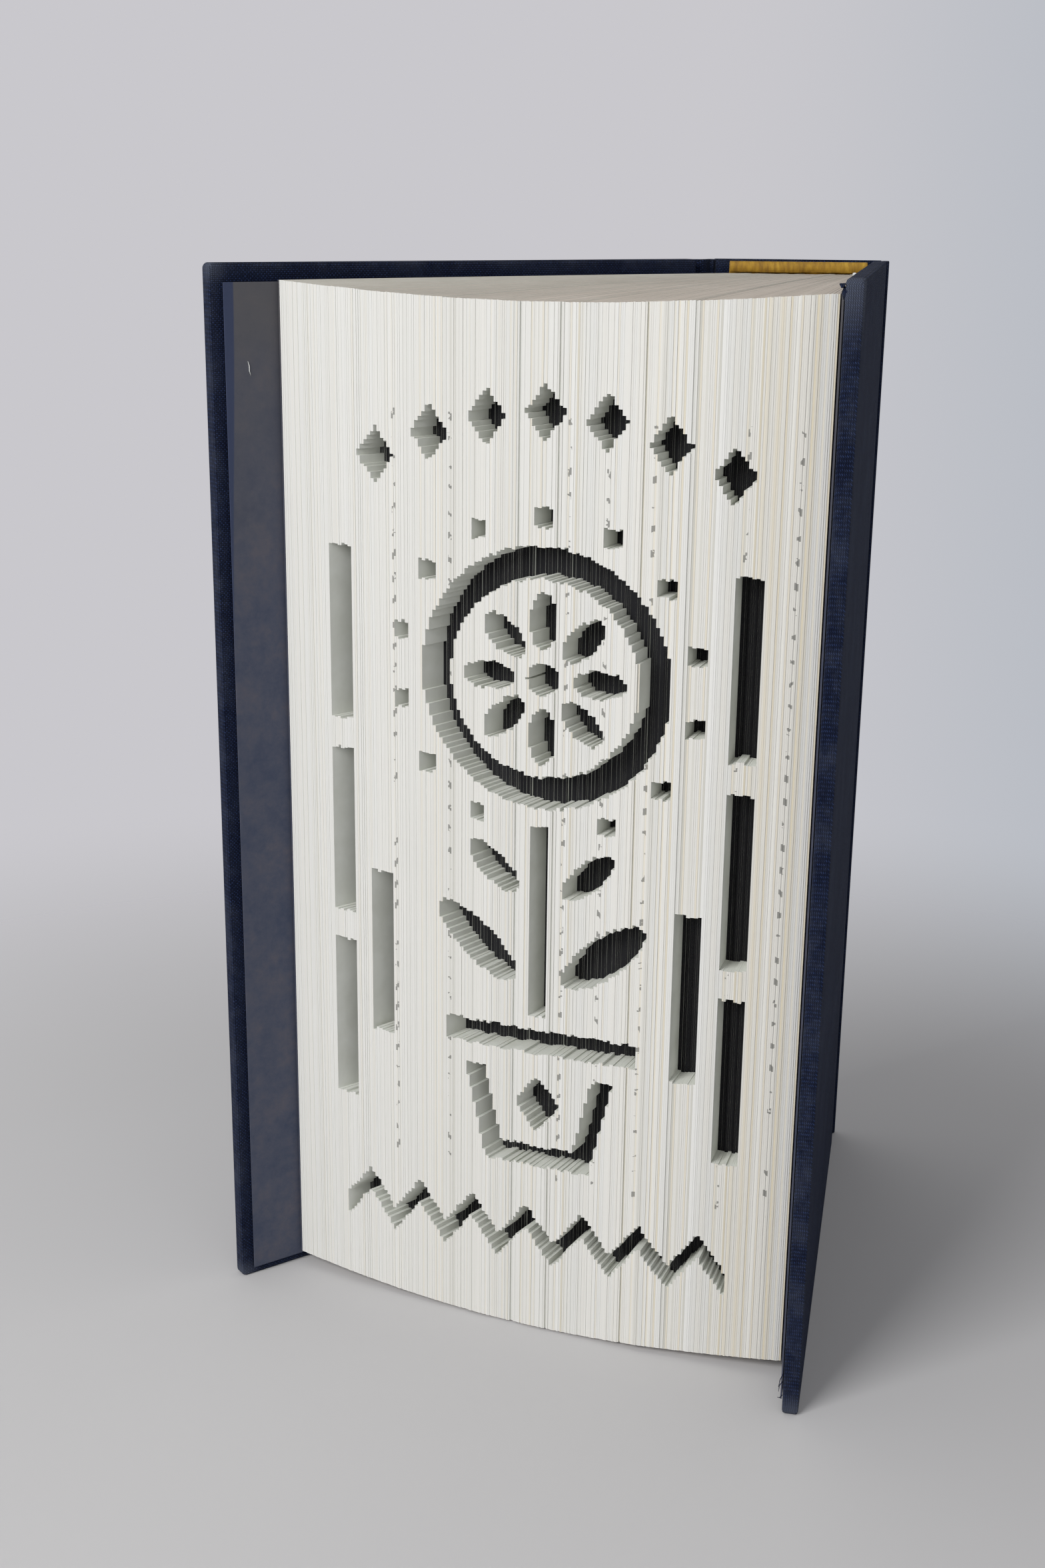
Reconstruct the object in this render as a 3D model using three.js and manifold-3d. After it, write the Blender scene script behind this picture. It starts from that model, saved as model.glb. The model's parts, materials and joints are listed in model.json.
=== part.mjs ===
// A thick hardcover book standing on its tail edge, spread open, with a folk pattern
// of a potted flower cut into its page edges. Millimetres, +Z up, fore edge towards -Y.
import * as THREE from "three";
import { mergeVertices } from "three/addons/utils/BufferGeometryUtils.js";
import Module from "manifold-3d";

const wasm = await Module();
wasm.setup();

// Driving dimensions of the case
const BOARD_HEIGHT = 240;
const COVER_WIDTH = 139;
const BOARD_THICKNESS = 3.5;
const BOARD_CORNER_RADIUS = 1.2;
const BOARD_EDGE_ROUNDING = 0.6;
const CLOTH_THICKNESS = 1.0;
const JOINT_WIDTH = 7;
const GROOVE_DEPTH = 1.1;
const HINGE_BEAD_RADIUS = 0.7;
const JOINT_END_INSET = 0.1;
const SPINE_WIDTH = 43.6;
const SPINE_THICKNESS = 2.0;
const SPINE_CROWN = 1.2;
const SPINE_END_CLEARANCE = 0.5;
const PAPER_THICKNESS = 0.3;
const GAP = 0.3;

// How far each cover is turned: the left from straight sideways, the right from straight ahead
const LEFT_COVER_ANGLE = THREE.MathUtils.degToRad(34.6);
const RIGHT_COVER_ANGLE = THREE.MathUtils.degToRad(11.7);

// The margins that the pasted endpapers leave, and the squares above and below the pages
const PASTEDOWN_MARGIN = 3.0;
const PASTEDOWN_DROP = 1.0;
const SQUARE = 3.3;

// Driving dimensions of the pages
const BLOCK_BACK_WIDTH = 34;
const BLOCK_BACK_SHIFT = -0.5;
const BLOCK_BACK_DEPTH = 4.3;
const LEAF_REACH = 123.3;
const SIDE_OFFSET = 4.6;
const FORE_EDGE_BULGE = 4.9;
const SAG_LEFT = 0.3;
const SAG_MIDDLE = 2.7;
const SAG_GROWTH = 1.5;
const COLUMNS = 54;
const DEPTH_STEPS = 4;

// The cut pattern
const RECESS_DEPTH = 6.5;
const CUT_STEP = 1;
const CUTTER_OVERLAP = 0.02;
const CUTTER_CLEARANCE = 8;
const FLOWER = { across: 64, up: 156, ringInner: 21.5, ringOuter: 28.5, heart: 3.6 };
const PETALS = { count: 8, reach: 12.6, length: 6, width: 3.1 };
const DOTS = { count: 14, reach: 34.5, size: 2 };
const STEM = { halfWidth: 2.2, bottom: 79, top: 123 };
const LEAVES = [
  { out: 15, up: 95, length: 12, width: 4.4, tilt: 0.7 },
  { out: 11, up: 113, length: 7.5, width: 3.2, tilt: 0.75 },
];
const POT = { bottom: 42, top: 70, footHalf: 12.5, mouthHalf: 19, wall: 5, rimHalf: 23, rimHeight: 5.5 };
const POT_LOZENGE = { up: 57.5, halfWidth: 5.5, halfHeight: 7 };
const ZIGZAG = { bottom: 20, height: 9, period: 13.6, halfWidth: 3, left: 14, right: 109.2 };
const BARS = { outer: 11.5, inner: 22, width: 6.3, length: 39, pitch: 46, outerStart: 50, innerStart: 68 };
const GARLAND = { count: 7, left: 24, pitch: 13.3, up: 201, rise: 11, halfWidth: 4.6, halfHeight: 6 };

// Headband and tailband
const BAND = { bead: 2.0, rise: 2.6, tongue: 0.5, tongueHeight: 12 };
const LINING_MARGIN = 18;

const materials = {
  navyCloth: new THREE.MeshStandardMaterial({ color: 0x1d2747, roughness: 0.85, metalness: 0 }),
  slatePaper: new THREE.MeshStandardMaterial({ color: 0x55565f, roughness: 0.9, metalness: 0 }),
  pagePaper: new THREE.MeshStandardMaterial({ color: 0xe3e1d8, roughness: 0.95, metalness: 0 }),
  ochreCloth: new THREE.MeshStandardMaterial({ color: 0xa57d28, roughness: 0.8, metalness: 0 }),
  liningCloth: new THREE.MeshStandardMaterial({ color: 0xcfc8b4, roughness: 0.95, metalness: 0 }),
};

// Solids and booleans
function toManifold(geometry) {
  const bare = geometry.clone();
  bare.deleteAttribute("normal");
  bare.deleteAttribute("uv");
  const merged = mergeVertices(bare, 1e-4);
  return new wasm.Manifold(new wasm.Mesh({
    numProp: 3,
    vertProperties: new Float32Array(merged.attributes.position.array),
    triVerts: new Uint32Array(merged.index.array),
  }));
}

function toGeometry(manifold) {
  const mesh = manifold.getMesh();
  const geometry = new THREE.BufferGeometry();
  geometry.setAttribute("position", new THREE.BufferAttribute(mesh.vertProperties, 3));
  geometry.setIndex(new THREE.BufferAttribute(mesh.triVerts, 1));
  const flat = geometry.toNonIndexed();
  flat.computeVertexNormals();
  return flat;
}

function join(geometries) {
  return geometries.map(toManifold).reduce((sum, part) => sum.add(part));
}

function signedVolume(points, triangles) {
  const at = (index) => new THREE.Vector3(...points[index]);
  return triangles.reduce((sum, [a, b, c]) => sum + at(a).dot(at(b).cross(at(c))) / 6, 0);
}

function closedGeometry(points, triangles) {
  const outward = signedVolume(points, triangles) > 0;
  const faces = outward ? triangles : triangles.map(([a, b, c]) => [a, c, b]);
  const geometry = new THREE.BufferGeometry();
  geometry.setAttribute("position", new THREE.Float32BufferAttribute(points.flat(), 3));
  geometry.setIndex(faces.flat());
  return geometry;
}

// A slab of leaves: plan(i, j) is a point seen from above, i across and j from back to front
function slabGeometry(across, along, plan, bottomAt, topAt) {
  const points = [];
  const layer = (across + 1) * (along + 1);
  for (const heightAt of [bottomAt, topAt]) {
    for (let i = 0; i <= across; i++) {
      for (let j = 0; j <= along; j++) {
        const [x, y] = plan(i, j);
        points.push([x, y, heightAt(i, j)]);
      }
    }
  }
  const low = (i, j) => i * (along + 1) + j;
  const high = (i, j) => layer + low(i, j);
  const triangles = [];
  const quad = (a, b, c, d) => triangles.push([a, b, c], [a, c, d]);
  for (let i = 0; i < across; i++) {
    for (let j = 0; j < along; j++) {
      quad(low(i, j), low(i + 1, j), low(i + 1, j + 1), low(i, j + 1));
      quad(high(i, j), high(i, j + 1), high(i + 1, j + 1), high(i + 1, j));
    }
    quad(low(i, 0), high(i, 0), high(i + 1, 0), low(i + 1, 0));
    quad(low(i, along), low(i + 1, along), high(i + 1, along), high(i, along));
  }
  for (let j = 0; j < along; j++) {
    quad(low(0, j), low(0, j + 1), high(0, j + 1), high(0, j));
    quad(low(across, j), high(across, j), high(across, j + 1), low(across, j + 1));
  }
  return closedGeometry(points, triangles);
}

// Where the covers lie, seen from above. side is -1 for the left cover and 1 for the right
function coverFrame(side) {
  const hinge = new THREE.Vector2((side * SPINE_WIDTH) / 2, 0);
  const along = side < 0
    ? new THREE.Vector2(-Math.cos(LEFT_COVER_ANGLE), -Math.sin(LEFT_COVER_ANGLE))
    : new THREE.Vector2(-Math.sin(RIGHT_COVER_ANGLE), -Math.cos(RIGHT_COVER_ANGLE));
  const inward = new THREE.Vector2(side * along.y, -side * along.x);
  return { hinge, along, inward };
}

function coverPoint(side, reach, offset) {
  const { hinge, along, inward } = coverFrame(side);
  return hinge.clone().addScaledVector(along, reach).addScaledVector(inward, offset);
}

// The leaves run from the straight back to the bulging fore edge
const backY = -BLOCK_BACK_DEPTH;
const backLeft = new THREE.Vector2(BLOCK_BACK_SHIFT - BLOCK_BACK_WIDTH / 2, backY);
const backRight = new THREE.Vector2(BLOCK_BACK_SHIFT + BLOCK_BACK_WIDTH / 2, backY);
const foreLeft = coverPoint(-1, LEAF_REACH, SIDE_OFFSET);
const foreRight = coverPoint(1, LEAF_REACH, SIDE_OFFSET);
const foreChord = foreLeft.distanceTo(foreRight);
const foreRadius = (foreChord ** 2 / 4 + FORE_EDGE_BULGE ** 2) / (2 * FORE_EDGE_BULGE);
const foreHalfAngle = Math.asin(foreChord / 2 / foreRadius);
const foreLength = 2 * foreHalfAngle * foreRadius;

function forePoint(u) {
  const angle = (2 * u - 1) * foreHalfAngle;
  const chordWay = foreRight.clone().sub(foreLeft).normalize();
  const outWay = new THREE.Vector2(chordWay.y, -chordWay.x);
  const middle = foreLeft.clone().add(foreRight).multiplyScalar(0.5);
  return middle
    .addScaledVector(chordWay, foreRadius * Math.sin(angle))
    .addScaledVector(outWay, foreRadius * Math.cos(angle) - foreRadius + FORE_EDGE_BULGE);
}

// u runs across the leaves from left to right, t along a leaf from its back to its fore edge
function leafPoint(u, t) {
  return backLeft.clone().lerp(backRight, u).lerp(forePoint(u), t);
}

function leafLength(u) {
  return leafPoint(u, 0).distanceTo(leafPoint(u, 1));
}

function sagAt(u, t) {
  return (SAG_LEFT * (1 - u) + SAG_MIDDLE * Math.sin(Math.PI * u)) * t ** SAG_GROWTH;
}

// Motifs of the cut pattern. across is measured along the fore edge, up from the floor
function inEllipse(across, up, centreAcross, centreUp, angle, length, width) {
  const right = across - centreAcross;
  const rise = up - centreUp;
  const along = right * Math.cos(angle) + rise * Math.sin(angle);
  const beside = rise * Math.cos(angle) - right * Math.sin(angle);
  return (along / length) ** 2 + (beside / width) ** 2 < 1;
}

function inFlower(across, up) {
  const radius = Math.hypot(across - FLOWER.across, up - FLOWER.up);
  if (radius < FLOWER.heart) return true;
  if (radius > FLOWER.ringInner && radius < FLOWER.ringOuter) return true;
  for (let k = 0; k < PETALS.count; k++) {
    const angle = (k * 2 * Math.PI) / PETALS.count;
    const centreAcross = FLOWER.across + PETALS.reach * Math.cos(angle);
    const centreUp = FLOWER.up + PETALS.reach * Math.sin(angle);
    if (inEllipse(across, up, centreAcross, centreUp, angle, PETALS.length, PETALS.width)) return true;
  }
  return false;
}

function inDots(across, up) {
  for (let k = 0; k < DOTS.count; k++) {
    const angle = ((k + 0.5) * 2 * Math.PI) / DOTS.count;
    const right = Math.abs(across - FLOWER.across - DOTS.reach * Math.cos(angle));
    const rise = Math.abs(up - FLOWER.up - DOTS.reach * Math.sin(angle));
    if (right < DOTS.size && rise < DOTS.size) return true;
  }
  return false;
}

function inStemAndLeaves(across, up) {
  const right = across - FLOWER.across;
  if (Math.abs(right) < STEM.halfWidth && up > STEM.bottom && up < STEM.top) return true;
  return LEAVES.some(({ out, up: leafUp, length, width, tilt }) =>
    inEllipse(Math.abs(right), up, out, leafUp, tilt, length, width));
}

function inPot(across, up) {
  const right = Math.abs(across - FLOWER.across);
  if (right < POT.rimHalf && up > POT.top && up < POT.top + POT.rimHeight) return true;
  const half = POT.footHalf + ((POT.mouthHalf - POT.footHalf) * (up - POT.bottom)) / (POT.top - POT.bottom);
  const wallsOnly = right > half - POT.wall || up < POT.bottom + POT.wall;
  if (right < half && up > POT.bottom && up < POT.top - POT.wall && wallsOnly) return true;
  return right / POT_LOZENGE.halfWidth + Math.abs(up - POT_LOZENGE.up) / POT_LOZENGE.halfHeight < 1;
}

function inZigzag(across, up) {
  if (across < ZIGZAG.left || across > ZIGZAG.right) return false;
  const phase = ((across - ZIGZAG.left) / ZIGZAG.period) % 1;
  const middle = ZIGZAG.bottom + ZIGZAG.height * (1 - Math.abs(2 * phase - 1));
  return Math.abs(up - middle) < ZIGZAG.halfWidth;
}

function inBars(across, up) {
  const fromEdge = Math.min(across, foreLength - across);
  const outerBar = fromEdge > BARS.outer && fromEdge < BARS.outer + BARS.width;
  const innerBar = fromEdge > BARS.inner && fromEdge < BARS.inner + BARS.width;
  if (!outerBar && !innerBar) return false;
  const count = outerBar ? 3 : 1;
  const start = outerBar ? BARS.outerStart : BARS.innerStart;
  const rise = up - start;
  return rise > 0 && rise < count * BARS.pitch && rise % BARS.pitch < BARS.length;
}

function inGarland(across, up) {
  for (let k = 0; k < GARLAND.count; k++) {
    const right = Math.abs(across - GARLAND.left - k * GARLAND.pitch);
    const centreUp = GARLAND.up + GARLAND.rise * Math.sin((Math.PI * k) / (GARLAND.count - 1));
    if (right / GARLAND.halfWidth + Math.abs(up - centreUp) / GARLAND.halfHeight < 1) return true;
  }
  return false;
}

function isCut(across, up) {
  return [inFlower, inDots, inStemAndLeaves, inPot, inZigzag, inBars, inGarland]
    .some((motif) => motif(across, up));
}

// The stretches of height that are cut out of one column of leaves
function cutStretches(u) {
  const stretches = [];
  let start = null;
  for (let up = 2 * SQUARE; up < BOARD_HEIGHT - 2 * SQUARE; up += CUT_STEP) {
    const cut = isCut(u * foreLength, up + CUT_STEP / 2);
    if (cut && start === null) start = up;
    if (!cut && start !== null) {
      stretches.push([start, up]);
      start = null;
    }
  }
  return stretches;
}

function recessCutter(column, [bottom, top]) {
  const margin = CUTTER_OVERLAP / foreLength;
  const plan = (i, j) => {
    const u = (column + i) / COLUMNS + (i ? margin : -margin);
    const reach = j ? CUTTER_CLEARANCE : -RECESS_DEPTH;
    return leafPoint(u, 1 + reach / leafLength(u)).toArray();
  };
  return slabGeometry(1, 1, plan, () => bottom, () => top);
}

function textBlock() {
  const block = toManifold(slabGeometry(
    COLUMNS,
    DEPTH_STEPS,
    (i, j) => leafPoint(i / COLUMNS, j / DEPTH_STEPS).toArray(),
    (i, j) => SQUARE - sagAt(i / COLUMNS, j / DEPTH_STEPS),
    (i, j) => BOARD_HEIGHT - SQUARE - sagAt(i / COLUMNS, j / DEPTH_STEPS),
  ));
  const cutters = [];
  for (let column = 0; column < COLUMNS; column++) {
    const stretches = cutStretches((column + 0.5) / COLUMNS);
    cutters.push(...stretches.map((stretch) => recessCutter(column, stretch)));
  }
  return toGeometry(block.subtract(join(cutters)));
}

// The free half of an endpaper lies on the outermost leaf
function flyleaf(side) {
  const u = side < 0 ? 0 : 1;
  const back = leafPoint(u, 0);
  const way = leafPoint(u, 1).sub(back).normalize();
  const outward = new THREE.Vector2(-side * way.y, side * way.x);
  const plan = (i, j) => leafPoint(u, j / DEPTH_STEPS)
    .addScaledVector(outward, GAP + i * PAPER_THICKNESS)
    .toArray();
  return slabGeometry(
    1,
    DEPTH_STEPS,
    plan,
    (i, j) => SQUARE - sagAt(u, j / DEPTH_STEPS),
    (i, j) => BOARD_HEIGHT - SQUARE - sagAt(u, j / DEPTH_STEPS),
  );
}

// A cover lies along its own x from the hinge line, with its inner face towards its own +y
const outerFace = -CLOTH_THICKNESS / 2;
const innerFace = outerFace + BOARD_THICKNESS;

function roundedRectangle(left, bottom, right, top, radius) {
  const shape = new THREE.Shape();
  shape.absarc(right - radius, bottom + radius, radius, -Math.PI / 2, 0);
  shape.absarc(right - radius, top - radius, radius, 0, Math.PI / 2);
  shape.absarc(left + radius, top - radius, radius, Math.PI / 2, Math.PI);
  shape.absarc(left + radius, bottom + radius, radius, Math.PI, 1.5 * Math.PI);
  return shape;
}

function boardGeometry() {
  const outline = roundedRectangle(JOINT_WIDTH, 0, COVER_WIDTH, BOARD_HEIGHT, BOARD_CORNER_RADIUS);
  const geometry = new THREE.ExtrudeGeometry(outline, {
    depth: BOARD_THICKNESS - 2 * BOARD_EDGE_ROUNDING,
    bevelThickness: BOARD_EDGE_ROUNDING,
    bevelSize: BOARD_EDGE_ROUNDING,
    bevelOffset: -BOARD_EDGE_ROUNDING,
    bevelSegments: 2,
    curveSegments: 3,
  });
  geometry.rotateX(Math.PI / 2);
  geometry.translate(0, innerFace - BOARD_EDGE_ROUNDING, 0);
  return geometry;
}

// The cloth dips into the groove beside the board
function jointClothGeometry() {
  const steps = 8;
  const end = JOINT_WIDTH + 1.5;
  const middleAt = (x) => (x < JOINT_WIDTH ? GROOVE_DEPTH * Math.sin((Math.PI * x) / JOINT_WIDTH) ** 2 : 0);
  const reaches = Array.from({ length: steps + 1 }, (_, k) => (k * JOINT_WIDTH) / steps).concat(end);
  const outer = reaches.map((x) => new THREE.Vector2(x, middleAt(x) - CLOTH_THICKNESS / 2));
  const inner = reaches.map((x) => new THREE.Vector2(x, middleAt(x) + CLOTH_THICKNESS / 2));
  const shape = new THREE.Shape([...outer, ...inner.reverse()]);
  const geometry = new THREE.ExtrudeGeometry(shape, {
    depth: BOARD_HEIGHT - 2 * JOINT_END_INSET,
    bevelEnabled: false,
  });
  geometry.translate(0, 0, JOINT_END_INSET);
  return geometry;
}

function hingeBeadGeometry() {
  const height = BOARD_HEIGHT - 2 * JOINT_END_INSET;
  const geometry = new THREE.CylinderGeometry(HINGE_BEAD_RADIUS, HINGE_BEAD_RADIUS, height, 12);
  geometry.rotateX(Math.PI / 2);
  geometry.translate(0, 0, BOARD_HEIGHT / 2);
  return geometry;
}

function coverGeometry() {
  return toGeometry(join([boardGeometry(), jointClothGeometry(), hingeBeadGeometry()]));
}

// The paper sits a little nearer to the tail than to the head. The right cover's is turned over
function pastedownGeometry(side) {
  const left = JOINT_WIDTH + PASTEDOWN_MARGIN;
  const right = COVER_WIDTH - PASTEDOWN_MARGIN;
  const geometry = new THREE.BoxGeometry(right - left, PAPER_THICKNESS, BOARD_HEIGHT - 2 * PASTEDOWN_MARGIN);
  const up = BOARD_HEIGHT / 2 + side * PASTEDOWN_DROP;
  geometry.translate((left + right) / 2, innerFace + GAP + PAPER_THICKNESS / 2, up);
  return geometry;
}

// The stiff strip of the spine, crowned outwards between the two hinge lines
function spineStripGeometry() {
  const half = SPINE_WIDTH / 2 - HINGE_BEAD_RADIUS - SPINE_END_CLEARANCE;
  const radius = (half ** 2 + SPINE_CROWN ** 2) / (2 * SPINE_CROWN);
  const spread = Math.asin(half / radius);
  const centreY = -SPINE_THICKNESS / 2 + SPINE_CROWN - radius;
  const shape = new THREE.Shape();
  shape.absarc(0, centreY, radius, Math.PI / 2 + spread, Math.PI / 2 - spread, true);
  shape.absarc(0, centreY, radius + SPINE_THICKNESS, Math.PI / 2 - spread, Math.PI / 2 + spread, false);
  return new THREE.ExtrudeGeometry(shape, { depth: BOARD_HEIGHT, bevelEnabled: false, curveSegments: 12 });
}

// Headband section: a bead over the page edges and a tongue glued down the block's back
function bandGeometry() {
  const tongueFront = backY + GAP;
  const tongueBack = tongueFront + BAND.tongue;
  const beadRadius = BAND.bead / 2;
  const beadFront = tongueBack - BAND.bead;
  const shape = new THREE.Shape();
  shape.moveTo(tongueFront, -BAND.tongueHeight);
  shape.lineTo(tongueBack, -BAND.tongueHeight);
  shape.lineTo(tongueBack, GAP + BAND.rise - beadRadius);
  shape.absarc(beadFront + beadRadius, GAP + BAND.rise - beadRadius, beadRadius, 0, Math.PI);
  shape.lineTo(beadFront, GAP);
  shape.lineTo(tongueFront, GAP);
  const geometry = new THREE.ExtrudeGeometry(shape, {
    depth: BLOCK_BACK_WIDTH,
    bevelEnabled: false,
    curveSegments: 6,
  });
  geometry.rotateX(Math.PI / 2);
  geometry.rotateZ(Math.PI / 2);
  geometry.translate(BLOCK_BACK_SHIFT - BLOCK_BACK_WIDTH / 2, 0, 0);
  return geometry;
}

function liningGeometry() {
  const height = BOARD_HEIGHT - 2 * (SQUARE + LINING_MARGIN);
  const geometry = new THREE.BoxGeometry(BLOCK_BACK_WIDTH, BAND.tongue, height);
  geometry.translate(BLOCK_BACK_SHIFT, backY + GAP + BAND.tongue / 2, BOARD_HEIGHT / 2);
  return geometry;
}

function named(name, geometry, material) {
  const mesh = new THREE.Mesh(geometry, material);
  mesh.name = name;
  return mesh;
}

// A cover's own axes: x from the hinge towards the fore edge, and y inwards on the left cover
function coverGroup(side, sideName) {
  const { hinge, along } = coverFrame(side);
  const cover = named(`${sideName}_cover_board`, coverGeometry(), materials.navyCloth);
  const paper = named(`${sideName}_pastedown`, pastedownGeometry(side), materials.slatePaper);
  const group = new THREE.Group();
  for (const mesh of [cover, paper]) {
    if (side > 0) {
      mesh.rotation.x = Math.PI;
      mesh.position.z = BOARD_HEIGHT;
    }
    group.add(mesh);
  }
  group.position.set(hinge.x, hinge.y, 0);
  group.rotation.z = Math.atan2(along.y, along.x);
  return group;
}

const headband = named("headband", bandGeometry(), materials.ochreCloth);
headband.position.z = BOARD_HEIGHT - SQUARE;
const tailband = named("tailband", bandGeometry(), materials.ochreCloth);
tailband.rotation.y = Math.PI;
tailband.position.set(2 * BLOCK_BACK_SHIFT, 0, SQUARE);

const book = new THREE.Group();
book.add(
  coverGroup(-1, "left"),
  coverGroup(1, "right"),
  named("left_flyleaf", flyleaf(-1), materials.slatePaper),
  named("right_flyleaf", flyleaf(1), materials.slatePaper),
  named("text_block", textBlock(), materials.pagePaper),
  named("spine_lining", liningGeometry(), materials.liningCloth),
  named("spine_strip", spineStripGeometry(), materials.navyCloth),
  headband,
  tailband,
);

// The origin is on the floor, under the middle of the whole book
book.updateMatrixWorld(true);
const extent = new THREE.Box3().setFromObject(book, true);
const middle = extent.getCenter(new THREE.Vector3());
book.position.set(-middle.x, -middle.y, 0);

export default book;
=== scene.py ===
"""Dresses the standing hardcover book: separate leaves, woven cloth, papers and bands. Metres, +Z up."""
import json
import math
import random

import bpy
from mathutils import Matrix, Vector


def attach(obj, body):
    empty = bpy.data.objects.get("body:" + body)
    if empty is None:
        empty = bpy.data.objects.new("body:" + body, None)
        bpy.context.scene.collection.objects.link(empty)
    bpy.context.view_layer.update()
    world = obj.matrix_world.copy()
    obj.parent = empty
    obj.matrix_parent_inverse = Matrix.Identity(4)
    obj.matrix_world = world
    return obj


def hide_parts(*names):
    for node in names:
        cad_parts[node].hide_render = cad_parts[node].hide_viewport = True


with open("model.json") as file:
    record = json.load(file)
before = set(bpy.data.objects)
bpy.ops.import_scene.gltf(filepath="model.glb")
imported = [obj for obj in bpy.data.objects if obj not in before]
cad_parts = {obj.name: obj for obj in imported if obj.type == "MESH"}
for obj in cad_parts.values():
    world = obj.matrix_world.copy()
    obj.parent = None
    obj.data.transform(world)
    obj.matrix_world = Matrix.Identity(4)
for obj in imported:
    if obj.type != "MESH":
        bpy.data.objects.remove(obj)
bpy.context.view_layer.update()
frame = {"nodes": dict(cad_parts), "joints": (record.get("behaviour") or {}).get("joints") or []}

# Driving sizes, as in the solid parts
BOARD_HEIGHT = 0.240
COVER_WIDTH = 0.139
BOARD_THICKNESS = 0.0035
CLOTH_THICKNESS = 0.001
PAPER_THICKNESS = 0.0003
NODE_GAP = 0.0003
JOINT_WIDTH = 0.007
SQUARE = 0.0033
LEFT_COVER_ANGLE = math.radians(34.6)
RIGHT_COVER_ANGLE = math.radians(11.7)
BLOCK_BACK_WIDTH = 0.034
BLOCK_BACK_SHIFT = -0.0005
BLOCK_BACK_DEPTH = 0.0043
LEAF_REACH = 0.1233
SIDE_OFFSET = 0.0046
FORE_EDGE_BULGE = 0.0049
SAG_LEFT = 0.0003
SAG_MIDDLE = 0.0027
SAG_GROWTH = 1.5

# The leaves
LEAF_SEED = 7
LEAF_COUNT = 290
SECTION_LEAVES = 16
CUT_GROUP = 2
LEAF_GAP_SHARE = 0.05
SAG_STEPS = (0.0, 0.3, 0.55, 0.75, 0.9)
RECESS_DEPTH = 0.0065
CUT_MARGIN = 2 * SQUARE
CUT_STEP = 0.0003
EDGE_JITTER = 0.00008
SECTION_JITTER = 0.0002
CUT_JITTER = 0.0004
SUNK_LEAVES = (137, 138, 158, 201)
SUNK_DEPTH = 0.00036
PRINTED_SPOTS = (0.235, 0.345, 0.565, 0.635, 0.715, 0.87, 0.955)
PRINT_PITCH = 0.005
PRINT_REACH_LEAVES = 1.1
PRINT_BOTTOM = 0.038
PRINT_TOP = 0.213
PRINT_SHIFTS = (0.05, 0.25)

# The cut pattern, across measured along the fore edge and up from the floor
FLOWER_ACROSS = 0.064
FLOWER_UP = 0.156
RING_INNER = 0.0215
RING_OUTER = 0.0285
HEART = 0.0036
PETAL_COUNT = 8
PETAL_REACH = 0.0126
PETAL_LENGTH = 0.006
PETAL_WIDTH = 0.0031
DOT_COUNT = 14
DOT_REACH = 0.0345
DOT_SIZE = 0.002
STEM_HALF_WIDTH = 0.0022
STEM_BOTTOM = 0.079
STEM_TOP = 0.123
STEM_LEAVES = ((0.015, 0.095, 0.012, 0.0044, 0.7), (0.011, 0.113, 0.0075, 0.0032, 0.75))
POT_BOTTOM = 0.042
POT_TOP = 0.070
POT_FOOT_HALF = 0.0125
POT_MOUTH_HALF = 0.019
POT_WALL = 0.005
POT_RIM_HALF = 0.023
POT_RIM_HEIGHT = 0.0055
LOZENGE_UP = 0.0575
LOZENGE_HALF_WIDTH = 0.0055
LOZENGE_HALF_HEIGHT = 0.007
ZIGZAG_BOTTOM = 0.020
ZIGZAG_HEIGHT = 0.009
ZIGZAG_PERIOD = 0.0136
ZIGZAG_HALF_WIDTH = 0.003
ZIGZAG_LEFT = 0.014
ZIGZAG_RIGHT = 0.1092
BAR_WIDTH = 0.0063
BAR_LENGTH = 0.039
BAR_PITCH = 0.046
OUTER_BARS = (0.0115, 0.050, 3)
INNER_BARS = (0.022, 0.068, 1)
GARLAND_COUNT = 7
GARLAND_LEFT = 0.024
GARLAND_PITCH = 0.0133
GARLAND_UP = 0.201
GARLAND_RISE = 0.011
GARLAND_HALF_WIDTH = 0.0046
GARLAND_HALF_HEIGHT = 0.006

# The photograph's camera
IMAGE_LONG_SIDE = 2352
FOCAL_PIXELS = 2906.8
SENSOR = 36
CAMERA_FROM_SPINE = Vector((-0.0674, -0.50145))
CAMERA_HEIGHT = 0.2522
CAMERA_PITCH = math.radians(16.622)
CAMERA_ROLL = math.radians(0.658)
CAMERA_CLIP_START = 0.01

hinges = {joint["name"]: Vector(joint["pos_m"][:2]) for joint in frame["joints"]}
left_hinge = hinges["left_cover_hinge"]
right_hinge = hinges["right_cover_hinge"]
spine_middle = (left_hinge + right_hinge) / 2


def turned(angle):
    return Vector((math.cos(angle), math.sin(angle)))


cover_angle = {"left": math.pi + LEFT_COVER_ANGLE, "right": 1.5 * math.pi - RIGHT_COVER_ANGLE}
cover_hinge = {"left": left_hinge, "right": right_hinge}
cover_turn = {"left": 1, "right": -1}


def cover_point(side, reach, inward):
    """A point on a cover, seen from above: reach from its hinge, inward from its cloth's middle."""
    along = turned(cover_angle[side])
    normal = turned(cover_angle[side] + cover_turn[side] * math.pi / 2)
    return cover_hinge[side] + reach * along + inward * normal


# Camera
def add_camera():
    camera = bpy.data.objects.new("camera", bpy.data.cameras.new("camera"))
    camera.data.sensor_width = SENSOR
    camera.data.lens = FOCAL_PIXELS * SENSOR / IMAGE_LONG_SIDE
    camera.data.clip_start = CAMERA_CLIP_START
    place = spine_middle + CAMERA_FROM_SPINE
    camera.matrix_world = (
        Matrix.Translation((place.x, place.y, CAMERA_HEIGHT))
        @ Matrix.Rotation(math.pi / 2 - CAMERA_PITCH, 4, "X")
        @ Matrix.Rotation(CAMERA_ROLL, 4, "Z")
    )
    bpy.context.collection.objects.link(camera)
    bpy.context.scene.camera = camera


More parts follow.
